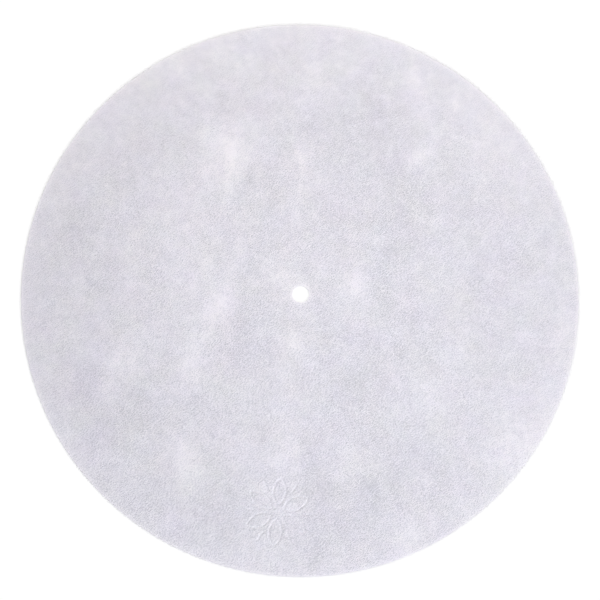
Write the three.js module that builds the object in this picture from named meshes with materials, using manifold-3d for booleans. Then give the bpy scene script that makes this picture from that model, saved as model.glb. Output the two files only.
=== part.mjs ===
/*
 * Turntable platter mat: one round sheet of white felt that lies on a turntable's platter, under the record.
 *
 * The sheet is die-cut in one piece. The knife pulls the fibres down as it passes, so the rim and the spindle
 * hole have softly rounded edges. A small ornament of petals and strokes is pressed into the top near the rim.
 *
 * Frame: millimetres, +Z up. The origin is on the spindle's axis, on the flat underside. The ornament is on
 * the -Y side.
 */
import * as THREE from "three";
import { mergeVertices } from "three/addons/utils/BufferGeometryUtils.js";
import Module from "manifold-3d";

const wasm = await Module();
wasm.setup();

// The sheet
const MAT_DIAMETER = 295;
const MAT_THICKNESS = 1.5;
const CUT_EDGE_RADIUS = 0.4;

// The hole, which slips over the platter's spindle
const SPINDLE_DIAMETER = 7.2;
const SPINDLE_PLAY = 1.8;

// The pressed ornament: where it is, its petals, and the strokes between them
const ORNAMENT_BEARING = 264; // degrees from +X, as seen from above
const ORNAMENT_TO_RIM = 15;
const PETAL_COUNT = 6;
const PETAL_START = 3.5; // from the ornament's centre to a petal's inner tip
const PETAL_LENGTH = 14;
const PETAL_WIDTH = 6.5;
const STROKE_LENGTH = 5;
const PRESSED_WIDTH = 1.1;
const PRESSED_DEPTH = 0.3;

// A cut edge takes at most this share of the thickness, which leaves a wall between the two rounded edges
const CUT_EDGE_LIMIT = 0.4;

// Points of a closed geometry that are nearer than this are one point
const WELD_DISTANCE = 1e-4;

// How finely round forms are faceted
const RIM_FACETS = 144;
const CUT_EDGE_STEPS = 1; // two facets to a quarter turn
const PETAL_STEPS = 10;
const LINE_SECTION_STEPS = 4;
const DOT_FACETS = 8;

const matRadius = MAT_DIAMETER / 2;
const holeRadius = (SPINDLE_DIAMETER + SPINDLE_PLAY) / 2;
const cutEdge = Math.min(CUT_EDGE_RADIUS, CUT_EDGE_LIMIT * MAT_THICKNESS);
const petalEnd = PETAL_START + PETAL_LENGTH;
const ornamentRadius = matRadius - ORNAMENT_TO_RIM - petalEnd;

/** A closed geometry as a solid that can be joined and cut. */
function solidFrom(geometry) {
  geometry.deleteAttribute("normal");
  geometry.deleteAttribute("uv");
  const merged = mergeVertices(geometry, WELD_DISTANCE);
  return new wasm.Manifold(
    new wasm.Mesh({
      numProp: 3,
      vertProperties: new Float32Array(merged.attributes.position.array),
      triVerts: new Uint32Array(merged.index.array),
    }),
  );
}

/** A solid as a geometry that three.js can show, with flat facets. */
function geometryFrom(solid) {
  const { vertProperties, triVerts } = solid.getMesh();
  const indexed = new THREE.BufferGeometry()
    .setAttribute("position", new THREE.BufferAttribute(vertProperties, 3))
    .setIndex(new THREE.BufferAttribute(triVerts, 1));
  const geometry = indexed.toNonIndexed();
  geometry.computeVertexNormals();
  return geometry;
}

/** The sheet's section, from the hole's wall to the rim, with its four cut edges rounded. */
function sheetSection() {
  const section = new THREE.Path();
  const inner = holeRadius + cutEdge;
  const outer = matRadius - cutEdge;
  const top = MAT_THICKNESS - cutEdge;
  const quarter = Math.PI / 2;
  section.absarc(inner, cutEdge, cutEdge, 2 * quarter, 3 * quarter);
  section.absarc(outer, cutEdge, cutEdge, 3 * quarter, 4 * quarter);
  section.absarc(outer, top, cutEdge, 0, quarter);
  section.absarc(inner, top, cutEdge, quarter, 2 * quarter);
  section.closePath();
  return section.getPoints(CUT_EDGE_STEPS);
}

/** The plain round sheet with its hole, turned about the spindle's axis. */
function sheet() {
  const turned = new THREE.LatheGeometry(sheetSection(), RIM_FACETS);
  turned.rotateX(Math.PI / 2);
  return solidFrom(turned);
}

/** The tool that presses one line: an oval bar along a curve. Its axis lies in the mat's top face. */
function lineTool(curve, steps) {
  const halfWidth = PRESSED_WIDTH / 2;
  const section = new THREE.Shape().absellipse(0, 0, PRESSED_DEPTH, halfWidth, 0, 2 * Math.PI);
  const bar = new THREE.ExtrudeGeometry(section, {
    curveSegments: LINE_SECTION_STEPS,
    steps,
    extrudePath: curve,
  });
  return solidFrom(bar);
}

/** The tool that presses one round dot, as wide as a line. It also rounds the lines' ends. */
function dotTool(x, y) {
  const dot = new THREE.SphereGeometry(PRESSED_WIDTH / 2, DOT_FACETS, DOT_FACETS);
  dot.rotateX(Math.PI / 2);
  dot.scale(1, 1, (2 * PRESSED_DEPTH) / PRESSED_WIDTH);
  dot.translate(x, y, 0);
  return solidFrom(dot);
}

/** One side of a petal that points along +X: an arc from its inner tip to its outer tip. */
class PetalSide extends THREE.Curve {
  constructor(side) {
    super();
    this.side = side;
    const half = PETAL_LENGTH / 2;
    const bulge = PETAL_WIDTH / 2;
    this.radius = (half * half + bulge * bulge) / (2 * bulge);
    this.halfAngle = 2 * Math.atan(bulge / half);
    this.middle = PETAL_START + half;
    this.centreOffset = this.radius - bulge;
  }
  getPoint(t, target = new THREE.Vector3()) {
    const angle = (2 * t - 1) * this.halfAngle;
    const x = this.middle + this.radius * Math.sin(angle);
    const y = this.side * (this.radius * Math.cos(angle) - this.centreOffset);
    return target.set(x, y, 0);
  }
}

/** The tools for one petal that points along +X. */
function petalTools() {
  return [
    lineTool(new PetalSide(1), PETAL_STEPS),
    lineTool(new PetalSide(-1), PETAL_STEPS),
    dotTool(PETAL_START, 0),
    dotTool(petalEnd, 0),
  ];
}

/** The tools for one straight stroke along +X, which ends level with the petals' tips. */
function strokeTools() {
  const start = petalEnd - STROKE_LENGTH;
  const line = new THREE.LineCurve3(new THREE.Vector3(start, 0, 0), new THREE.Vector3(petalEnd, 0, 0));
  return [lineTool(line, 1), dotTool(start, 0), dotTool(petalEnd, 0)];
}

/** The whole press tool: petals in a ring, a stroke between each two, and a dot in the middle. */
function ornamentTool() {
  const pitch = 360 / PETAL_COUNT;
  const petal = wasm.Manifold.union(petalTools());
  const stroke = wasm.Manifold.union(strokeTools());
  const tools = [dotTool(0, 0)];
  for (let i = 0; i < PETAL_COUNT; i++) {
    tools.push(petal.rotate([0, 0, i * pitch]));
    tools.push(stroke.rotate([0, 0, (i + 0.5) * pitch]));
  }
  return wasm.Manifold.union(tools)
    .translate([ornamentRadius, 0, MAT_THICKNESS])
    .rotate([0, 0, ORNAMENT_BEARING]);
}

const whiteFelt = new THREE.MeshStandardMaterial({
  color: 0xdedce5,
  roughness: 0.95,
  metalness: 0,
});

const feltMat = new THREE.Mesh(geometryFrom(sheet().subtract(ornamentTool())), whiteFelt);
feltMat.name = "felt_mat";

const platterMat = new THREE.Group();
platterMat.add(feltMat);

export default platterMat;
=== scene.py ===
"""The looks of a round white felt mat for a turntable's platter.

One closed sheet of needled felt with a spindle hole, a pressed ornament near the rim, and the loose fibres
that stand out of it. Lengths are in metres, +Z is up, and the spindle's axis is the Z axis.
"""

import math

import bpy
import numpy as np
from mathutils import Matrix, Vector, geometry, noise


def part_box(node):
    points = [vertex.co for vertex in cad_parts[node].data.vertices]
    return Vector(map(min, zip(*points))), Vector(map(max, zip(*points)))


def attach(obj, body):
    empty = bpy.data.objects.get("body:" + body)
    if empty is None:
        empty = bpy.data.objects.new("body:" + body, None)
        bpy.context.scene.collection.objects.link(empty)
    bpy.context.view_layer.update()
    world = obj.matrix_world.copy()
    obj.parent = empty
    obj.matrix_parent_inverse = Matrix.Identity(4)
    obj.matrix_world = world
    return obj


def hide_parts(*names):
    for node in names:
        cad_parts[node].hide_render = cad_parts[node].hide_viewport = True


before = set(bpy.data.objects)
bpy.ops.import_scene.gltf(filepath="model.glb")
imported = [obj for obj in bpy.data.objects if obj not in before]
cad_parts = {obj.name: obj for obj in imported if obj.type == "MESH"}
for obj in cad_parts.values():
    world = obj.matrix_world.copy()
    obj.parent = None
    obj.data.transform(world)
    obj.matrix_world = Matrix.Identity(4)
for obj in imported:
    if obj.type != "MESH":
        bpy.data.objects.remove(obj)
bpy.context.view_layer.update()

MM = 0.001

SEED = 7
RANDOM = np.random.default_rng(SEED)

# The sheet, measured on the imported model
CAD_LOW, CAD_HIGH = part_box("felt_mat")
RIM_RADIUS = (CAD_HIGH.x - CAD_LOW.x) / 2
THICKNESS = CAD_HIGH.z - CAD_LOW.z
HOLE_RADIUS = min(v.co.xy.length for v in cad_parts["felt_mat"].data.vertices)

# The cut edges: how far they are rounded, and the angles at which the mesh has its points round there
TOP_ROUNDING = 0.12 * MM
UNDERSIDE_ROUNDING = 0.3 * MM
TOP_ROUNDING_ANGLES = np.radians([90, 66, 44, 22, 0])
UNDERSIDE_ROUNDING_ANGLES = np.radians([0, 45, 90])

# The pressed ornament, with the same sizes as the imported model
ORNAMENT_BEARING = math.radians(264)
ORNAMENT_TO_RIM = 15 * MM
PETAL_COUNT = 6
PETAL_START = 3.5 * MM
PETAL_LENGTH = 14 * MM
PETAL_WIDTH = 6.5 * MM
STROKE_LENGTH = 5 * MM
PRESSED_WIDTH = 1.1 * MM
PRESSED_DEPTH = 0.3 * MM
PETAL_END = PETAL_START + PETAL_LENGTH
ORNAMENT_DISTANCE = RIM_RADIUS - ORNAMENT_TO_RIM - PETAL_END

# From the spindle towards the ornament, and across that
ORNAMENT_OUT = np.array([math.cos(ORNAMENT_BEARING), math.sin(ORNAMENT_BEARING)])
ORNAMENT_SIDE = np.array([-ORNAMENT_OUT[1], ORNAMENT_OUT[0]])

# The shape of a pressed line, from its middle outwards: a groove and the low swell beside it
GROOVE_FLOOR = 0.1 * PRESSED_WIDTH
GROOVE_SIDE = 0.75 * PRESSED_WIDTH
SWELL_WIDTH = 0.4 * PRESSED_WIDTH
SWELL_SHARE = 0.1  # its height, as a share of the pressed depth
PRESSED_TONE = 0.04  # the felt is paler along the pressed lines

# How closely the mesh's points lie
TOP_SPACING = 1.2 * MM
ORNAMENT_SPACING = 0.33 * MM
UNDERSIDE_SPACING = 2.4 * MM
RIM_SPACING = 0.8 * MM
HOLE_SPACING = 0.5 * MM
EDGE_STRIP = 0.15 * MM  # the width of the row of triangles along each edge
SCATTER = 0.22  # how far a point moves from its place in the lattice, in spacings
LOOP_CLEARANCE = 0.5  # how far the points keep from the loops along the edges, in spacings
FINE_MARGIN = 1.6 * PRESSED_WIDTH  # how far the closer points reach beside a pressed line
FINE_REACH = PETAL_END + 1.5 * PRESSED_WIDTH  # and how far they reach from the ornament's centre
FINE_GAP = 0.3 * TOP_SPACING  # between them and the wider spaced points
TRIANGLES_INSIDE = 1  # the triangulation keeps only the triangles inside its outer loop
SAME_PLACE = 1e-9  # points closer together than this would count as one

# Where the felt lies fuller and paler, or thinner and greyer, than around it. Each patch has its place, its
# length and its width in millimetres, its lean from the Y axis towards +X in degrees, and how much lighter
# it is.
PATCHES = [
    # Upper left
    (-36, 76, 20, 11, 0, 0.09),
    (-38, 79, 34, 30, 0, 0.045),
    (-45, 82, 16, 14, 0, 0.04),
    (-49, 64, 12, 8, 20, 0.05),
    (-38, 57, 18, 8, 10, 0.06),
    (-28, 63, 10, 8, 0, -0.07),
    (2, 73, 14, 9, 0, 0.08),
    (-1, 54, 30, 7, 3, 0.045),
    (-33, 22, 30, 5, 8, 0.045),
    (-62, 30, 70, 42, 0, 0.028),
    (-91, 15, 30, 8, 0, 0.04),
    (-66, 50, 16, 12, 0, 0.02),
    (-68, 125, 14, 12, 0, 0.045),
    (-45, 132, 14, 10, 0, 0.04),
    (-32, 124, 14, 12, 0, 0.03),
    (-65, 83, 26, 22, 0, -0.027),
    (-82, 86, 20, 18, 0, -0.02),
    (-92, 66, 20, 16, 0, -0.03),
    (-103, 60, 12, 10, 0, -0.025),
    (-118, 34, 26, 24, 0, -0.038),
    (-42, 104, 20, 10, 0, -0.035),
    (-60, 107, 16, 14, 0, -0.02),
    (-25, 103, 14, 22, 0, -0.02),
    (-17, 127, 16, 12, 0, -0.015),
    (-6, 108, 14, 14, 0, -0.02),
    (-10, 82, 26, 8, 0, -0.025),
    (-16, 55, 24, 10, 0, -0.035),
    (-44, 45, 18, 6, -15, -0.02),
    (-50, 12, 60, 30, 0, 0.022),
    (-9, 8, 26, 13, -35, 0.075),
    (-3, 23, 12, 16, 0, 0.03),
    (-24, 13, 8, 8, 0, -0.03),
    (-75, 15, 22, 10, 0, -0.02),
    (-57, 4, 14, 14, 0, 0.025),
    (-130, 2, 50, 20, 0, -0.02),
    (-105, 5, 30, 14, 0, -0.025),
    # Upper right
    (6, 116, 40, 16, 10, 0.03),
    (10, 123, 10, 6, 0, 0.03),
    (36, 92, 58, 48, 0, -0.035),
    (38, 106, 20, 20, 0, -0.012),
    (5, 94, 14, 16, 0, -0.05),
    (16, 84, 20, 16, 0, -0.02),
    (42, 81, 26, 14, 0, -0.015),
    (62, 117, 13, 8, 10, 0.075),
    (65, 105, 26, 12, 0, 0.03),
    (84, 104, 14, 8, 20, 0.065),
    (64, 74, 18, 9, 50, 0.09),
    (75, 86, 10, 8, 0, 0.025),
    (98, 85, 40, 24, 0, 0.028),
    (109, 80, 12, 10, 0, 0.03),
    (120, 68, 22, 14, -30, 0.025),
    (54, 50, 58, 26, 0, -0.028),
    (66, 50, 12, 10, 0, -0.025),
    (48, 33, 26, 10, 0, -0.012),
    (47, 23, 8, 14, 0, -0.05),
    (88, 42, 30, 16, 0, -0.025),
    (80, 70, 30, 10, 0, -0.02),
    (29, 5, 17, 11, 0, 0.11),
    (22, 3, 16, 12, 0, 0.025),
    (10, 16, 10, 8, 0, 0.025),
    (43, 2, 18, 10, 0, -0.037),
    (47, -8, 8, 10, 0, -0.04),
    (38, 14, 8, 8, 0, -0.03),
    (95, 8, 30, 11, 0, -0.03),
    (119, 14, 18, 14, 0, -0.012),
    (131, 28, 20, 8, 20, -0.015),
    (109, 25, 16, 8, 0, -0.01),
    (98, 28, 14, 8, 30, 0.02),
    (74, 8, 20, 12, -40, 0.02),
    # Lower left
    (-44, -8, 26, 14, 15, 0.1),
    (-57, -38, 22, 14, 5, 0.1),
    (-52, -22, 24, 12, 25, 0.015),
    (-92, -36, 30, 13, 25, 0.07),
    (-95, -37, 10, 14, 0, 0.03),
    (-74, -24, 10, 10, 0, 0.03),
    (-113, -49, 30, 22, 0, -0.035),
    (-105, -72, 18, 12, 30, -0.05),
    (-88, -67, 22, 24, 0, -0.035),
    (-84, -52, 16, 16, 0, -0.03),
    (-55, -58, 10, 18, 0, -0.025),
    (-59, -90, 16, 10, -20, 0.1),
    (-60, -88, 24, 20, 0, 0.04),
    (-101, -53, 24, 4, 0, 0.02),
    (-44, -88, 12, 10, 0, -0.04),
    (-42, -118, 32, 32, 0, -0.037),
    (-34, -102, 14, 12, 0, -0.012),
    (-77, -103, 26, 14, 0, -0.025),
    (-32, -82, 22, 18, 0, 0.03),
    (-10, -82, 32, 13, 5, 0.055),
    (-6, -93, 8, 10, 0, 0.03),
    (-20, -106, 14, 10, 0, 0.035),
    (-26, -135, 18, 14, 0, 0.03),
    (-5, -26, 10, 12, 0, 0.08),
    (1, -34, 12, 12, 0, 0.03),
    (-30, -20, 30, 20, 10, -0.028),
    (-33, -33, 14, 12, 0, -0.016),
    (-16, -28, 16, 5, 0, -0.02),
    (-30, -50, 10, 12, 0, 0.025),
    (-20, -75, 12, 8, 0, -0.03),
    (-8, -52, 40, 14, 0, 0.025),
    # Lower right
    (26, -50, 24, 22, 0, -0.045),
    (40, -47, 14, 14, 0, -0.025),
    (33, -31, 12, 12, 0, -0.03),
    (52, -34, 18, 8, -15, -0.035),
    (60, -12, 18, 10, 0, -0.03),
    (66, -28, 12, 8, 0, -0.03),
    (14, -20, 22, 8, 0, -0.035),
    (71, -54, 20, 22, 0, 0.04),
    (65, -47, 8, 10, 0, 0.02),
    (86, -25, 26, 6, 15, 0.035),
    (105, -58, 20, 20, 0, 0.025),
    (110, -82, 24, 20, 30, 0.08),
    (128, -65, 30, 10, 20, 0.03),
    (96, -100, 30, 14, 40, 0.02),
    (118, -72, 44, 26, 30, 0.03),
    (138, -28, 40, 14, 0, 0.042),
    (100, -30, 50, 20, 0, -0.012),
    (45, -79, 10, 26, 0, -0.03),
    (62, -82, 14, 18, 0, -0.018),
    (72, -93, 14, 14, 0, -0.025),
    (10, -98, 28, 13, -15, -0.052),
    (37, -102, 16, 16, 0, -0.075),
    (50, -99, 20, 8, -10, -0.04),
    (28, -118, 26, 32, 0, -0.035),
    (9, -122, 26, 10, 0, -0.03),
    (6, -137, 14, 14, 0, -0.045),
    (27, -89, 16, 20, 0, 0.03),
    (56, -128, 24, 12, 10, 0.06),
    (70, -113, 26, 14, 0, -0.015),
]
PATCH_CONTRAST = 1.5  # how much stronger all of them are than their rows say

# Soft noise: how fast its finer octaves fade, and how much finer each is than the one before
OCTAVE_FADE = 1.0
OCTAVE_STEP = 2.0

# The noise that makes the patches' outlines wander, and breaks the patches up inside
WANDER_SIZE = 9 * MM
WANDER_SEEDS = (3.1, 8.7)
WANDER_REACH = 2.5 * MM
BREAK_SIZE = 5 * MM
BREAK_STRETCH = 1.3
BREAK_SEED = 7.9
BREAK_STRENGTH = 0.7

# The finer clouds between the patches: the size, seed and strength of each layer
CLOUDS = [
    (9 * MM, 12.9, 0.03),
    (6 * MM, 14.3, 0.034),
    (4 * MM, 17.7, 0.02),
]
CLOUD_BRIGHTNESS = 1.0  # how much more the pale clouds stand out than the grey ones

# How much flatter the nap lies than at the middle: at both sides, more at -X than at +X, and at +Y
FLAT_SIDES = 0.42
FLAT_SIDES_BIAS = 0.05
FLAT_FAR = 0.66
FLAT_FAR_START = 0.2  # where that begins, on the way from the middle to the rim at +Y
FLAT_SLOPE = 0.03  # and what it gains evenly along Y
NAP_SIZE = 18 * MM
NAP_SEED = 2.2
NAP_CHANGE = 0.15

# The relief of the top, of the underside and of the cut walls
TOP_SINK = 0.05 * MM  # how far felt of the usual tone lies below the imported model's top
TONE_RELIEF = 0.5 * MM  # how much higher felt would lie that is lighter by 1
TOP_TUFT_SIZE = 2.6 * MM
TOP_TUFT_SEED = 5.5
TOP_TUFT_HEIGHT = 0.05 * MM
UNDERSIDE_TUFT_SIZE = 4 * MM
UNDERSIDE_TUFT_SEED = 6.5
UNDERSIDE_HOLLOW = 0.04 * MM
WALL_WAVE_SIZE = 1.6 * MM
WALL_WAVE_SEED = 4.4
WALL_WAVE_DEPTH = 0.02 * MM
WALL_RAGGED_SIZE = 1.1 * MM
WALL_RAGGED_SEED = 10  # of the wall's first loop, and one more for each loop below it
WALL_RAGGED_DEPTH = 0.015 * MM

TUBE_SIDES = 3

# The loose fibres on the top
TOP_FIBRES = 6000
TOP_FIBRE_STEPS = 6
TOP_FIBRE_LENGTHS = (1.2 * MM, 4.5 * MM)
TOP_FIBRE_RADII = (0.012 * MM, 0.026 * MM)
TOP_FIBRE_TO_HOLE = 1 * MM
TOP_FIBRE_TO_RIM = 2 * MM
TOP_FIBRE_ROOT = 0.12 * MM  # how deep in the felt their ends lie
TOP_FIBRE_RISES = (0.13 * MM, 0.26 * MM)  # and how far they rise from there
TOP_FIBRE_BEND = 0.9  # how much they usually turn from end to end, in radians
LOOSE_END_SHARE = 0.25  # how many of them end in the air
COMBED_SHARE = 0.6  # how many of them lie roughly along one bearing
COMBED_BEARING = math.radians(42)
COMBED_SPREAD = 0.35  # in radians

# The fuzz on the cut edges
RIM_FIBRES = 32000
HOLE_FIBRES = 400
RIM_FIBRE_REACH = 0.57 * MM
HOLE_FIBRE_REACH = 0.38 * MM
LONGEST_EDGE_FIBRE = 1.9 * MM  # before the lean makes it longer or shorter
GOLDEN_SHARE = 0.618034  # spreads the fuzz's lengths evenly among neighbours
FUZZ_BEARING = math.radians(45)  # the fuzz is longest on this side of the rim
FUZZ_LEAN = 0.3  # how much longer it is there than on average
EDGE_FIBRE_STEPS = 3
EDGE_FIBRE_RADII = (0.02 * MM, 0.036 * MM)
EDGE_FIBRE_TIP = 0.5  # the radius of its tip, as a share of its root's
WALL_ROOT = 0.15 * MM  # how far behind the cut wall a fibre starts
LOWEST_WALL_ROOT = 0.25 * MM
HIGHEST_WALL_ROOT = THICKNESS - 0.05 * MM
OVER_EDGE_SHARE = 0.08  # how many fibres come over the edge from the top
OVER_EDGE_ROOTS = (0.25 * MM, 0.6 * MM)  # how far behind the cut wall these start
OVER_EDGE_SINK = 0.02 * MM  # how deep in the felt they start
OVER_EDGE_CREST = 0.08 * MM  # how high they arch over the edge
FUZZ_DRIFT = 0.9  # how far a fibre usually strays along the edge, in lengths of its own
FUZZ_LIFT = 0.3  # and how far up or down
HIGHEST_LIFT = 0.4 * MM
FUZZ_CURL = 1.5  # above 1, a fibre strays more and more towards its tip
LOWEST_FUZZ = 0.05 * MM  # no fibre comes lower than this

# Linear colours of the felt where it is thin, usual and full
THIN_FELT = (0.544, 0.534, 0.6)
USUAL_FELT = (0.76, 0.745, 0.82)
FULL_FELT = (0.916, 0.888, 0.948)
TONE_REACH = 0.25  # how much lighter than usual the full colour is
TINT_SIZE = 18 * MM
TINT_STRENGTH = (0.0, 0.075, 0.095)  # how much red, green and blue go their own ways from place to place

# The fibres' greyest and palest colours. A round fibre looks darker than a flat face of its colour.
GREY_FIBRE = (0.88, 0.864, 0.985)
PALE_FIBRE = (0.965, 0.948, 1.0)
FIBRE_SHADE_SIZE = 3 * MM
FIBRE_ROUGHNESS = 0.45
FIBRE_ROUGHNESS_CHANGE = 0.3

# The felt's grain: dots where single fibres show, strokes where they lie side by side, painted light and
# shade on the strokes' sides, and small tufts
DOT_SIZE = 0.42 * MM
DOT_TONE = 1.28
STROKE_SIZE = (1.35 * MM, 0.56 * MM)
STROKE_LEAN = math.radians(56)
PAINTED_RELIEF_TONE = 0.6
STROKE_HEIGHT = 0.3 * MM
STROKE_GLOSS = 0.2
PAINTED_RELIEF_SHIFT = (0.2 * MM, -0.22 * MM, 0)  # painted light and shade: how far towards the sun the strokes are read again, so each stroke gets a painted lit side and a painted shaded crevice beside it
TUFT_SIZE = 3.4 * MM
TUFT_TONE = 0.16
NOISE_TILT = (0.71, 0.43, 0.37)  # so that the sheet cuts the noise aslant and doesn't show its grid

# Painted light near the cut edges, standing in for light that glows through the thin fuzzy felt there: how
# far from the edge it fades, and how much it is, by the rim, by the hole, and in a narrow and a broad band
# along both
RIM_FADE = 1.3 * MM
RIM_PAINTED_LIGHT = 0.07
HOLE_FADE = 0.9 * MM
HOLE_PAINTED_LIGHT = 0.17
CUT_FADE = 0.5 * MM
CUT_PAINTED_LIGHT = 0.22
BROAD_FADE = 8 * MM
BROAD_PAINTED_LIGHT = 0.035
WALL_GREYNESS = 0.14  # how much of that painted light the upright wall loses again
WALL_LEAN = 0.5  # the height of the normal at which the felt no longer counts as a wall

# The camera looks almost straight down, from a little beyond the ornament's side
AIM = Vector((-0.35 * MM, -3.12 * MM, THICKNESS))
CAMERA_BACK = Vector((-0.0185, -0.139, 0.9905)).normalized()
CAMERA_DISTANCE = 0.852
CAMERA_LENS = 96.55  # in millimetres
CAMERA_NEAR = 0.01

# The light. A share is how brightly that light alone would show a white face lying flat at the middle.
WORLD_SHARE = 0.358
SUN_SHARE = 0.27
STRIP_SHARE = 0.35
GLOW_SHARE = 0.02
SUN_BEARING = math.radians(-40)
SUN_HEIGHT = math.radians(38)
SUN_SPREAD = math.radians(12)
STRIP_PLACE = Vector((0.061, -0.06, 0.342))
STRIP_SIZE = (0.12, 0.9)
STRIP_COLOUR = (0.96, 1.0, 1.04)
GLOW_PLACE = Vector((0.0, 0.7, 0.4))
GLOW_SIZE = (0.3, 0.2)
GLOW_COLOUR = (1.6, 1.0, 0.2)
LAMP_CELLS = 40  # how finely a lamp's face is divided to work out its power

FLOOR_SIDE = 8.0
FLOOR_DROP = 0.05 * MM
FLOOR_COLOUR = 0.8
FLOOR_SEEN_COLOUR = 0.12  # what is left of that colour where the camera or a reflection sees the floor
FLOOR_LIFT = 0.92  # and the white that is added there


def smooth_step(low, high, value):
    """0 below low, 1 above high, and a smooth rise between them."""
    t = np.clip((value - low) / (high - low), 0, 1)
    return t * t * (3 - 2 * t)


def soft_noise(points, length, seed, stretch=1.0, octaves=3):
    """Noise about 0 at each point, in lumps that are about length wide and stretch times as long in Y."""
    scaled = points / (length, length * stretch)
    places = [Vector((x, y, seed)) for x, y in scaled]
    return np.array([noise.fractal(place, OCTAVE_FADE, OCTAVE_STEP, octaves) for place in places])


def towards(angle):
    """The unit vector at each angle from the X axis."""
    return np.stack([np.cos(angle), np.sin(angle)], 1)


def circle(radius, spacing):
    """Points round a circle, about spacing apart."""
    count = round(2 * math.pi * radius / spacing)
    return radius * towards(np.arange(count) * 2 * math.pi / count)


def ornament_frame(points):
    """Each point as it lies to the ornament: from its centre, with X pointing away from the spindle."""
    offset = points - ORNAMENT_DISTANCE * ORNAMENT_OUT
    return np.stack([offset @ ORNAMENT_OUT, offset @ ORNAMENT_SIDE], 1)


def to_petal_side(points):
    """The distance to the two arcs of a petal that points along +X."""
    half = PETAL_LENGTH / 2
    bulge = PETAL_WIDTH / 2
    radius = (half * half + bulge * bulge) / (2 * bulge)
    x = points[:, 0] - PETAL_START - half
    y = np.abs(points[:, 1]) + radius - bulge
    on_arc = np.abs(np.arctan2(x, y)) <= math.asin(half / radius)
    to_arc = np.abs(np.hypot(x, y) - radius)
    to_tip = np.hypot(np.abs(x) - half, points[:, 1])
    return np.where(on_arc, to_arc, to_tip)


def to_stroke(points):
    """The distance to a straight stroke along +X that ends level with the petals."""
    x = np.clip(points[:, 0], PETAL_END - STROKE_LENGTH, PETAL_END)
    return np.hypot(points[:, 0] - x, points[:, 1])


def to_ornament(points):
    """The distance from each point to the nearest pressed line, or to the dot in the middle."""
    nearest = np.hypot(points[:, 0], points[:, 1])
    for i in range(2 * PETAL_COUNT):
        angle = i * math.pi / PETAL_COUNT
        turn = np.array([[math.cos(angle), -math.sin(angle)], [math.sin(angle), math.cos(angle)]])
        distance = to_stroke if i % 2 else to_petal_side
        nearest = np.minimum(nearest, distance(points @ turn))
    return nearest


def pressed(points):
    """How far each point lies in one of the ornament's grooves: 1 on its bottom and 0 outside it."""
    distance = to_ornament(ornament_frame(points))
    return 1 - smooth_step(GROOVE_FLOOR, GROOVE_SIDE, distance)


def pressed_depth(points):
    """How deep the ornament is pressed at each point. The felt swells a little beside its lines."""
    distance = to_ornament(ornament_frame(points))
    swell = np.exp(-(((distance - PRESSED_WIDTH) / SWELL_WIDTH) ** 2))
    return PRESSED_DEPTH * (pressed(points) - SWELL_SHARE * swell)


def patch_tone(points):
    """How much lighter the patches make the felt at each point."""
    tone = np.zeros(len(points))
    for x, y, length, width, lean, strength in PATCHES:
        angle = math.radians(lean)
        along = np.array([math.sin(angle), math.cos(angle)])
        across = np.array([along[1], -along[0]])
        offset = points - (x * MM, y * MM)
        u = offset @ along / (length * MM / 2)
        v = offset @ across / (width * MM / 2)
        tone += strength * np.exp(-(u * u + v * v))
    return PATCH_CONTRAST * tone


def felt_tone(points):
    """How much lighter than usual the felt is at each point, from its patches and its finer clouds."""
    wander = np.stack([soft_noise(points, WANDER_SIZE, seed) for seed in WANDER_SEEDS], 1)
    broken = 1 + BREAK_STRENGTH * soft_noise(points, BREAK_SIZE, BREAK_SEED, stretch=BREAK_STRETCH)
    tone = patch_tone(points + WANDER_REACH * wander) * broken + PRESSED_TONE * pressed(points)
    for size, seed, strength in CLOUDS:
        clouds = soft_noise(points, size, seed)
        tone += strength * (clouds + CLOUD_BRIGHTNESS * clouds * clouds)
    return tone


def felt_nap(points):
    """How coarse the felt's grain is at each point: it lies flatter towards the rim, most of all at +Y."""
    x, y = points.T / RIM_RADIUS
    flat_sides = FLAT_SIDES * x * x - FLAT_SIDES_BIAS * x
    flat_far = FLAT_FAR * smooth_step(FLAT_FAR_START, 1.0, y) + FLAT_SLOPE * y
    return 1 - flat_sides - flat_far + NAP_CHANGE * soft_noise(points, NAP_SIZE, NAP_SEED, octaves=2)


def top_height(points, tone):
    """The top's height at each point: full patches, tufts and the pressed ornament."""
    tufts = soft_noise(points, TOP_TUFT_SIZE, TOP_TUFT_SEED)
    relief = TONE_RELIEF * tone + TOP_TUFT_HEIGHT * tufts
    return THICKNESS - TOP_SINK + relief - pressed_depth(points)


def underside_height(points):
    """The underside's height: it lies on the platter, with shallow hollows between its tufts."""
    tufts = soft_noise(points, UNDERSIDE_TUFT_SIZE, UNDERSIDE_TUFT_SEED, octaves=2)
    return UNDERSIDE_HOLLOW * np.clip(tufts, 0, 1)


def scattered(spacing, reach):
    """A triangular lattice over a disc, with each point moved a little at random."""
    rise = spacing * math.sqrt(3) / 2
    last_row = int(reach / rise)
    last_column = int(reach / spacing) + 1
    rows, columns = np.mgrid[-last_row : last_row + 1, -last_column : last_column + 1]
    x = (columns + 0.5 * (rows % 2)) * spacing
    points = np.stack([x.ravel(), (rows * rise).ravel()], 1)
    points += RANDOM.uniform(-SCATTER, SCATTER, points.shape) * spacing
    return points[np.hypot(*points.T) < reach]


def face_points(spacing):
    """Points over the mat's round face, clear of its rim and its hole."""
    points = scattered(spacing, RIM_RADIUS)
    radius = np.hypot(*points.T)
    outer = RIM_RADIUS - TOP_ROUNDING - EDGE_STRIP
    inner = HOLE_RADIUS + TOP_ROUNDING + EDGE_STRIP
    gap = LOOP_CLEARANCE * spacing
    clear = (radius < outer - gap) & (radius > inner + gap)
    return np.concatenate([points[clear], circle(outer, RIM_SPACING), circle(inner, HOLE_SPACING)])


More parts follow.
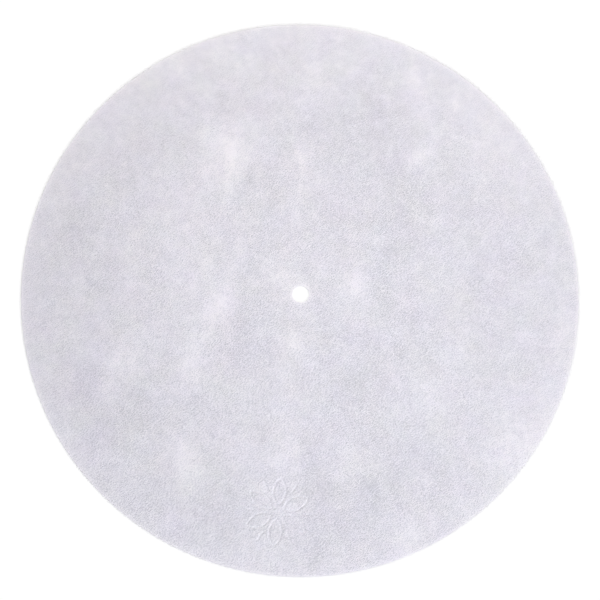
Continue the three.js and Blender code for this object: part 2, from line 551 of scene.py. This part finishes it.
def top_points():
    """Points over the top, which lie closer where the ornament is pressed."""
    points = face_points(TOP_SPACING)
    fine = scattered(ORNAMENT_SPACING, FINE_REACH)
    near = to_ornament(fine) < FINE_MARGIN
    fine = ORNAMENT_DISTANCE * ORNAMENT_OUT + fine[near] @ np.stack([ORNAMENT_OUT, ORNAMENT_SIDE])
    far = to_ornament(ornament_frame(points)) > FINE_MARGIN + FINE_GAP
    return np.concatenate([points[far], fine])


def edge_section(radius, outward):
    """The rounded cut edge from the top to the underside: radii and heights. outward is 1 at the rim."""
    section = []
    for angle in TOP_ROUNDING_ANGLES:
        inset = TOP_ROUNDING * (1 - math.cos(angle))
        section.append((radius - outward * inset, THICKNESS - TOP_ROUNDING * (1 - math.sin(angle))))
    section.append((radius, (THICKNESS - TOP_ROUNDING + UNDERSIDE_ROUNDING) / 2))
    for angle in UNDERSIDE_ROUNDING_ANGLES:
        inset = UNDERSIDE_ROUNDING * (1 - math.cos(angle))
        section.append((radius - outward * inset, UNDERSIDE_ROUNDING * (1 - math.sin(angle))))
    return section


def triangulate(points, outer, inner):
    """Triangles over the points between an outer and an inner loop. The loops come first in the result."""
    every = np.concatenate([outer, inner, points])
    first = len(outer)
    loops = [(i, (i + 1) % first) for i in range(first)]
    loops += [(first + i, first + (i + 1) % len(inner)) for i in range(len(inner))]
    found = geometry.delaunay_2d_cdt([Vector(p) for p in every], loops, [], TRIANGLES_INSIDE, SAME_PLACE)
    vertices = np.array([v[:] for v in found[0]])
    faces = np.array(found[2])
    middle = vertices[faces].mean(1)
    hole = np.hypot(*inner[0]) * math.cos(math.pi / len(inner))
    return vertices, faces[np.hypot(*middle.T) > hole]


def new_mesh(name, vertices, faces):
    """A smooth-shaded mesh object with these vertices and faces."""
    mesh = bpy.data.meshes.new(name)
    mesh.from_pydata(vertices, [], faces)
    mesh.validate()
    mesh.shade_smooth()
    piece = bpy.data.objects.new(name, mesh)
    bpy.context.scene.collection.objects.link(piece)
    return piece


def keep_values(piece, name, values):
    """Keeps one value a point on the piece's mesh, where its material reads it."""
    attribute = piece.data.attributes.new(name, "FLOAT", "POINT")
    attribute.data.foreach_set("value", values.astype(np.float32))


def add_points(blocks, points, heights):
    """Adds a block of points to a mesh's blocks of points, and says at which number it starts."""
    start = sum(len(block) for block in blocks)
    blocks.append(np.column_stack([points, heights]))
    return start


def band(upper, lower, count, outward):
    """Faces between two loops of count points. outward is 1 where they face away from the spindle."""
    quads = []
    for i in range(count):
        j = (i + 1) % count
        quad = [upper + i, lower + i, lower + j, upper + j]
        quads.append(quad if outward > 0 else quad[::-1])
    return quads


def add_wall(blocks, section, turn, top_loop, underside_loop, outward):
    """Adds the ragged cut wall between the top's loop and the underside's, and gives the wall's faces."""
    count = len(turn)

    # The wall's heights are scaled to those of the top's loop, which rises and falls
    crown = blocks[0][top_loop : top_loop + count, 2]
    wave = soft_noise(turn * section[0][0], WALL_WAVE_SIZE, WALL_WAVE_SEED, octaves=2)
    faces = []
    upper = top_loop
    for step, (radius, height) in enumerate(section[1:-1]):
        ragged = soft_noise(turn * radius, WALL_RAGGED_SIZE, WALL_RAGGED_SEED + step, octaves=2)
        bulge = WALL_WAVE_DEPTH * wave + WALL_RAGGED_DEPTH * ragged
        loop = turn * (radius + outward * bulge)[:, None]
        lower = add_points(blocks, loop, height * crown / THICKNESS)
        faces += band(upper, lower, count, outward)
        upper = lower
    return faces + band(upper, underside_loop, count, outward)


def felt_sheet():
    """The mat's sheet as one closed mesh, with each point's tone and nap kept as attributes."""
    # A section's first radius is that of the top's loop, and its last that of the underside's loop
    rim = edge_section(RIM_RADIUS, 1)
    hole = edge_section(HOLE_RADIUS, -1)
    rim_turn = circle(1, RIM_SPACING / RIM_RADIUS)
    hole_turn = circle(1, HOLE_SPACING / HOLE_RADIUS)
    top, top_faces = triangulate(top_points(), rim[0][0] * rim_turn, hole[0][0] * hole_turn)
    under = face_points(UNDERSIDE_SPACING)
    under, under_faces = triangulate(under, rim[-1][0] * rim_turn, hole[-1][0] * hole_turn)
    tone = felt_tone(top)

    # The top's points come first, and on both faces the rim's loop comes first and the hole's after it
    blocks = []
    start_top = add_points(blocks, top, top_height(top, tone))
    start_under = add_points(blocks, under, underside_height(under))
    faces = (start_top + top_faces).tolist()
    faces += (start_under + under_faces[:, ::-1]).tolist()
    faces += add_wall(blocks, rim, rim_turn, start_top, start_under, 1)
    skip = len(rim_turn)
    faces += add_wall(blocks, hole, hole_turn, start_top + skip, start_under + skip, -1)

    vertices = np.concatenate(blocks)
    sheet = new_mesh("felt_sheet", vertices.tolist(), faces)
    every_tone = np.concatenate([tone, felt_tone(vertices[len(tone):, :2])])
    keep_values(sheet, "felt_tone", every_tone)
    keep_values(sheet, "felt_nap", felt_nap(vertices[:, :2]))
    return sheet


def fibre_tubes(name, paths, radii):
    """Thin tubes along the paths, each closed by a point at both ends."""
    count, steps, _ = paths.shape
    ahead = np.gradient(paths, axis=1)
    ahead /= np.linalg.norm(ahead, axis=2, keepdims=True)
    across = np.cross(ahead, RANDOM.normal(size=(count, 1, 3)))
    across /= np.linalg.norm(across, axis=2, keepdims=True)
    third = np.cross(ahead, across)
    rings = []
    for side in range(TUBE_SIDES):
        angle = side * 2 * math.pi / TUBE_SIDES
        spoke = math.cos(angle) * across + math.sin(angle) * third
        rings.append((paths + spoke * radii[:, :, None])[:, 1:-1])
    rings = np.stack(rings, 2).reshape(count, -1, 3)
    vertices = np.concatenate([paths[:, :1], rings, paths[:, -1:]], 1)

    last = vertices.shape[1] - 1
    last_ring = last - TUBE_SIDES
    faces = []
    for i in range(TUBE_SIDES):
        j = (i + 1) % TUBE_SIDES
        faces.append((0, 1 + j, 1 + i))
        faces.append((last, last_ring + i, last_ring + j))
        for low in range(1, last_ring, TUBE_SIDES):
            high = low + TUBE_SIDES
            faces.append((low + i, low + j, high + j))
            faces.append((low + i, high + j, high + i))
    every = np.array(faces)[None] + (np.arange(count) * (last + 1))[:, None, None]
    return new_mesh(name, vertices.reshape(-1, 3).tolist(), every.reshape(-1, 3).tolist())


def top_fibres():
    """Loose fibres on the top: each rises out of the felt, bends, and dips back in or ends in the air."""
    count = TOP_FIBRES
    innermost = HOLE_RADIUS + TOP_FIBRE_TO_HOLE
    outermost = RIM_RADIUS - TOP_FIBRE_TO_RIM
    radius = np.sqrt(RANDOM.uniform(innermost**2, outermost**2, count))
    turn = RANDOM.uniform(0, 2 * math.pi, count)
    combed = RANDOM.random(count) < COMBED_SHARE
    bearing = np.where(combed, RANDOM.normal(COMBED_BEARING, COMBED_SPREAD, count), turn)
    length = RANDOM.uniform(*TOP_FIBRE_LENGTHS, count)
    bend = RANDOM.normal(0, TOP_FIBRE_BEND, count)
    climb = RANDOM.uniform(*TOP_FIBRE_RISES, count)
    ends_up = RANDOM.random(count) < LOOSE_END_SHARE

    paths = np.zeros((count, TOP_FIBRE_STEPS, 3))
    place = radius[:, None] * towards(turn)
    stride = length / (TOP_FIBRE_STEPS - 1)
    for step in range(TOP_FIBRE_STEPS):
        share = step / (TOP_FIBRE_STEPS - 1)
        if step:
            place = place + stride[:, None] * towards(bearing + bend * (share - 0.5))
        rise = np.where(ends_up, share, math.sin(math.pi * share))
        paths[:, step, :2] = place
        paths[:, step, 2] = THICKNESS - TOP_FIBRE_ROOT - pressed_depth(place) + climb * rise
    thick = RANDOM.uniform(*TOP_FIBRE_RADII, count)
    return fibre_tubes("top_fibres", paths, np.repeat(thick[:, None], TOP_FIBRE_STEPS, 1))


def fuzz_paths(radius, count, outward, reach, lean):
    """The paths of the fuzz on one cut edge. outward is 1 at the rim, and lean makes one side's longer."""
    order = np.arange(count)
    turn = (order + RANDOM.random(count)) * 2 * math.pi / count
    over = RANDOM.random(count) < OVER_EDGE_SHARE
    inset = np.where(over, RANDOM.uniform(*OVER_EDGE_ROOTS, count), WALL_ROOT)
    height = HIGHEST_WALL_ROOT - (HIGHEST_WALL_ROOT - LOWEST_WALL_ROOT) * RANDOM.random(count) ** 2
    root = (radius - outward * inset)[over, None] * towards(turn[over])
    height[over] = top_height(root, felt_tone(root)) - OVER_EDGE_SINK
    crest = np.where(over, OVER_EDGE_CREST, 0)

    out = np.minimum(-reach * np.log(1 - order * GOLDEN_SHARE % 1), LONGEST_EDGE_FIBRE)
    out *= 1 + lean * np.cos(turn - FUZZ_BEARING)
    drift = RANDOM.normal(0, FUZZ_DRIFT, count) * out / radius
    lift = np.clip(RANDOM.normal(0, FUZZ_LIFT, count) * out, -HIGHEST_LIFT, HIGHEST_LIFT)

    share = np.linspace(0, 1, EDGE_FIBRE_STEPS)
    curl = share**FUZZ_CURL
    far = radius + outward * ((out + inset)[:, None] * share - inset[:, None])
    angle = turn[:, None] + drift[:, None] * curl
    z = height[:, None] + crest[:, None] * np.sin(math.pi * share) + lift[:, None] * curl
    return np.stack([far * np.cos(angle), far * np.sin(angle), np.maximum(z, LOWEST_FUZZ)], 2)


def edge_fibres():
    """The fuzz that the knife leaves on the rim and in the hole. A little of it comes over the edge."""
    rim = fuzz_paths(RIM_RADIUS, RIM_FIBRES, 1, RIM_FIBRE_REACH, FUZZ_LEAN)
    hole = fuzz_paths(HOLE_RADIUS, HOLE_FIBRES, -1, HOLE_FIBRE_REACH, 0)
    paths = np.concatenate([rim, hole])
    thick = RANDOM.uniform(*EDGE_FIBRE_RADII, len(paths))
    taper = np.linspace(1, EDGE_FIBRE_TIP, EDGE_FIBRE_STEPS)
    return fibre_tubes("edge_fibres", paths, thick[:, None] * taper)


class Nodes:
    """Adds nodes to a tree and joins them. An input is given as a value or as the socket that feeds it."""

    def __init__(self, tree):
        self.tree = tree
        tree.nodes.clear()

    def add(self, kind, inputs=None, **settings):
        """A node of this kind, with its inputs by name or number and its settings by name."""
        node = self.tree.nodes.new("ShaderNode" + kind)
        for name, value in settings.items():
            setattr(node, name, value)
        for name, value in (inputs or {}).items():
            if isinstance(value, bpy.types.NodeSocket):
                self.tree.links.new(value, node.inputs[name])
            else:
                node.inputs[name].default_value = value
        return node

    def math(self, operation, a, b=0.0, c=0.0):
        """The result of a math node."""
        return self.add("Math", {0: a, 1: b, 2: c}, operation=operation).outputs[0]

    def noise(self, vector, detail=2.0, roughness=0.5, output="Fac"):
        """Noise from 0 to 1, in lumps about as wide as one unit of the vector."""
        inputs = {"Vector": vector, "Scale": 1.0, "Detail": detail, "Roughness": roughness}
        return self.add("TexNoise", inputs).outputs[output]

    def about_zero(self, value):
        """Noise from 0 to 1, brought down to lie about 0."""
        return self.math("SUBTRACT", value, 0.5)

    def scaled(self, vector, size, lean=0.0):
        """Coordinates in lengths of size along a direction that leans from the Y axis, and across it."""
        along, across = size
        inputs = {"Vector": vector, "Rotation": (0, 0, lean)}
        turned = self.add("Mapping", inputs, vector_type="POINT").outputs[0]
        inputs = {"Vector": turned, "Scale": (1 / across, 1 / along, 1 / across), "Rotation": NOISE_TILT}
        return self.add("Mapping", inputs, vector_type="POINT").outputs[0]

    def even(self, vector, size):
        """Coordinates in lengths of size in every direction."""
        return self.scaled(vector, (size, size))


def painted_edge_light(nodes, place, tone):
    """The tone with painted light near the cut edges, standing in for light through the thin fuzzy felt,
    and greyer again on the wall.
    """
    split = nodes.add("SeparateXYZ", {0: place})
    flat = nodes.add("CombineXYZ", {0: split.outputs[0], 1: split.outputs[1]})
    radius = nodes.add("VectorMath", {0: flat.outputs[0]}, operation="LENGTH").outputs["Value"]
    to_rim = nodes.math("SUBTRACT", RIM_RADIUS, radius)
    to_hole = nodes.math("SUBTRACT", radius, HOLE_RADIUS)
    to_edge = nodes.math("MAXIMUM", nodes.math("MINIMUM", to_rim, to_hole), 0.0)
    # Painted light, fading with the distance from each edge
    for distance, fade, painted_light in (
        (to_rim, RIM_FADE, RIM_PAINTED_LIGHT),
        (to_hole, HOLE_FADE, HOLE_PAINTED_LIGHT),
        (to_edge, CUT_FADE, CUT_PAINTED_LIGHT),
        (to_edge, BROAD_FADE, BROAD_PAINTED_LIGHT),
    ):
        near = nodes.math("EXPONENT", nodes.math("MULTIPLY", distance, -1 / fade))
        tone = nodes.math("MULTIPLY_ADD", near, painted_light, tone)

    normal = nodes.add("SeparateXYZ", {0: nodes.add("NewGeometry").outputs["Normal"]})
    upright = nodes.math("MULTIPLY_ADD", nodes.math("ABSOLUTE", normal.outputs[2]), -1 / WALL_LEAN, 1.0)
    return nodes.math("MULTIPLY_ADD", nodes.math("MAXIMUM", upright, 0.0), -WALL_GREYNESS, tone)


def felt_material():
    """Needled felt: fuller and thinner places, single and crossing fibres, painted light and shade beside
    the strokes, and a soft sheen.
    """
    material = bpy.data.materials.new("white_felt")
    material.use_nodes = True
    nodes = Nodes(material.node_tree)
    place = nodes.add("TexCoord").outputs["Object"]
    # Painted light and shade: the place moved towards the sun, where the strokes are read again
    moved = nodes.add("VectorMath", {0: place, 1: PAINTED_RELIEF_SHIFT}, operation="ADD").outputs[0]

    dots = nodes.noise(nodes.even(place, DOT_SIZE), detail=1)
    strokes = nodes.noise(nodes.scaled(place, STROKE_SIZE, STROKE_LEAN), detail=1)
    beside = nodes.noise(nodes.scaled(moved, STROKE_SIZE, STROKE_LEAN), detail=1)
    tufts = nodes.noise(nodes.even(place, TUFT_SIZE), detail=2, roughness=0.6)
    tint = nodes.noise(nodes.even(place, TINT_SIZE), detail=5, roughness=0.62, output="Color")

    tone = nodes.add("Attribute", attribute_name="felt_tone").outputs["Fac"]
    nap = nodes.add("Attribute", attribute_name="felt_nap").outputs["Fac"]
    shade = nodes.math("MULTIPLY", nodes.about_zero(dots), DOT_TONE)
    # The strokes less those nearer the sun: a painted lit side and a painted shaded side on each stroke
    shade = nodes.math("MULTIPLY_ADD", nodes.math("SUBTRACT", strokes, beside), PAINTED_RELIEF_TONE, shade)
    tone = nodes.math("MULTIPLY_ADD", shade, nap, tone)
    tone = nodes.math("MULTIPLY_ADD", nodes.about_zero(tufts), TUFT_TONE, tone)
    # Painted light near the cut edges
    tone = painted_edge_light(nodes, place, tone)

    # The usual colour is in the middle of the ramp
    ramp = nodes.add("ValToRGB", {0: nodes.math("MULTIPLY_ADD", tone, 0.5 / TONE_REACH, 0.5)})
    stops = ramp.color_ramp.elements
    stops[0].color = (*THIN_FELT, 1)
    stops[1].color = (*FULL_FELT, 1)
    stops.new(0.5).color = (*USUAL_FELT, 1)
    untinted = [1 - strength / 2 for strength in TINT_STRENGTH]
    tints = nodes.add("VectorMath", {0: tint, 1: TINT_STRENGTH, 2: untinted}, operation="MULTIPLY_ADD")
    inputs = {0: ramp.outputs["Color"], 1: tints.outputs[0]}
    colour = nodes.add("VectorMath", inputs, operation="MULTIPLY")

    height = nodes.math("MULTIPLY", strokes, nap)
    bump = nodes.add("Bump", {"Strength": 1.0, "Distance": STROKE_HEIGHT, "Height": height})
    shader = nodes.add("BsdfPrincipled", {
        "Base Color": colour.outputs[0],
        "Roughness": nodes.math("MULTIPLY_ADD", strokes, -STROKE_GLOSS, 1.0),
        "Specular IOR Level": 0.15,
        "Sheen Weight": 0.08,
        "Sheen Roughness": 0.5,
        "Normal": bump.outputs["Normal"],
    })
    nodes.add("OutputMaterial", {"Surface": shader.outputs[0]})
    return material


def fibre_material():
    """A single fibre: pale and a little glossy, each stretch of it in its own shade."""
    material = bpy.data.materials.new("felt_fibre")
    material.use_nodes = True
    nodes = Nodes(material.node_tree)
    place = nodes.add("TexCoord").outputs["Object"]
    shade = nodes.noise(nodes.even(place, FIBRE_SHADE_SIZE))
    ramp = nodes.add("ValToRGB", {0: shade})
    ramp.color_ramp.elements[0].color = (*GREY_FIBRE, 1)
    ramp.color_ramp.elements[1].color = (*PALE_FIBRE, 1)
    shader = nodes.add("BsdfPrincipled", {
        "Base Color": ramp.outputs["Color"],
        "Roughness": nodes.math("MULTIPLY_ADD", shade, FIBRE_ROUGHNESS_CHANGE, FIBRE_ROUGHNESS),
        "Specular IOR Level": 0.3,
    })
    nodes.add("OutputMaterial", {"Surface": shader.outputs[0]})
    return material


def make_camera():
    """The camera, aimed at the middle of the top."""
    camera = bpy.data.objects.new("camera", bpy.data.cameras.new("camera"))
    bpy.context.scene.collection.objects.link(camera)
    camera.data.lens = CAMERA_LENS
    camera.data.clip_start = CAMERA_NEAR
    camera.location = AIM + CAMERA_DISTANCE * CAMERA_BACK
    right = Vector((0, 1, 0)).cross(CAMERA_BACK).normalized()
    up = CAMERA_BACK.cross(right)
    camera.rotation_mode = "QUATERNION"
    camera.rotation_quaternion = Matrix((right, up, CAMERA_BACK)).transposed().to_quaternion()
    bpy.context.scene.camera = camera


def seen_ray(nodes):
    """1 for rays from the camera, from a reflection or through glass, and 0 for rays that carry light."""
    path = nodes.add("LightPath").outputs
    either = nodes.math("MAXIMUM", path["Is Camera Ray"], path["Is Glossy Ray"])
    return nodes.math("MAXIMUM", either, path["Is Transmission Ray"])


def make_floor():
    """A pale floor that looks white where it is seen and still takes the mat's shadow."""
    half = FLOOR_SIDE / 2
    square = ((-half, -half), (half, -half), (half, half), (-half, half))
    floor = new_mesh("floor", [(x, y, -FLOOR_DROP) for x, y in square], [(0, 1, 2, 3)])
    material = bpy.data.materials.new("floor")
    material.use_nodes = True
    nodes = Nodes(material.node_tree)
    seen = seen_ray(nodes)
    grey = nodes.math("MULTIPLY_ADD", seen, FLOOR_SEEN_COLOUR - FLOOR_COLOUR, FLOOR_COLOUR)
    diffuse = nodes.add("BsdfDiffuse", {"Color": grey})
    lift = nodes.math("MULTIPLY", seen, FLOOR_LIFT)
    glow = nodes.add("Emission", {"Color": (1, 1, 1, 1), "Strength": lift})
    both = nodes.add("AddShader", {0: diffuse.outputs[0], 1: glow.outputs[0]})
    nodes.add("OutputMaterial", {"Surface": both.outputs[0]})
    floor.data.materials.append(material)


def make_world():
    """Even light from all round, which looks white where it is seen."""
    world = bpy.data.worlds.new("studio")
    world.use_nodes = True
    nodes = Nodes(world.node_tree)
    strength = nodes.math("MULTIPLY_ADD", seen_ray(nodes), 1 - WORLD_SHARE, WORLD_SHARE)
    light = nodes.add("Background", {"Color": (1, 1, 1, 1), "Strength": strength})
    nodes.add("OutputWorld", {"Surface": light.outputs[0]})
    bpy.context.scene.world = world


def make_lamp(name, kind, **settings):
    """A lamp of this kind in the scene, with its settings by name."""
    lamp = bpy.data.objects.new(name, bpy.data.lights.new(name, kind))
    bpy.context.scene.collection.objects.link(lamp)
    for key, value in settings.items():
        setattr(lamp.data, key, value)
    return lamp


def lamp_power(place, size, share):
    """The power in watts of a flat lamp that shines down, so that it lights the mat's middle by share."""
    total = 0.0
    for i in range(LAMP_CELLS):
        for j in range(LAMP_CELLS):
            x = place.x + ((i + 0.5) / LAMP_CELLS - 0.5) * size[0]
            y = place.y + ((j + 0.5) / LAMP_CELLS - 0.5) * size[1]
            gap = Vector((x, y, place.z))
            total += gap.z**2 / gap.length**4 / LAMP_CELLS**2
    return share * math.pi**2 / total


def make_lamps():
    """A soft sun from the lower right, a long lamp over the right half, and a weak warm glow beyond +Y."""
    sunward = Vector((
        math.cos(SUN_HEIGHT) * math.cos(SUN_BEARING),
        math.cos(SUN_HEIGHT) * math.sin(SUN_BEARING),
        math.sin(SUN_HEIGHT),
    ))
    strength = math.pi * SUN_SHARE / math.sin(SUN_HEIGHT)
    sun = make_lamp("sun", "SUN", energy=strength, angle=SUN_SPREAD)
    sun.rotation_mode = "QUATERNION"
    sun.rotation_quaternion = sunward.to_track_quat("Z", "Y")

    for name, place, size, colour, share in (
        ("strip", STRIP_PLACE, STRIP_SIZE, STRIP_COLOUR, STRIP_SHARE),
        ("glow", GLOW_PLACE, GLOW_SIZE, GLOW_COLOUR, GLOW_SHARE),
    ):
        lamp = make_lamp(name, "AREA", shape="RECTANGLE", size=size[0], size_y=size[1], color=colour)
        lamp.location = place
        lamp.visible_camera = False
        lamp.data.energy = lamp_power(place, size, share)


make_camera()
make_floor()
make_world()
make_lamps()
bpy.context.scene.view_settings.view_transform = "Standard"

sheet = felt_sheet()
sheet.data.materials.append(felt_material())
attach(sheet, "root")
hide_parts("felt_mat")

loose = [top_fibres(), edge_fibres()]
single_fibre = fibre_material()
for fibres in loose:
    fibres.data.materials.append(single_fibre)
    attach(fibres, "root")
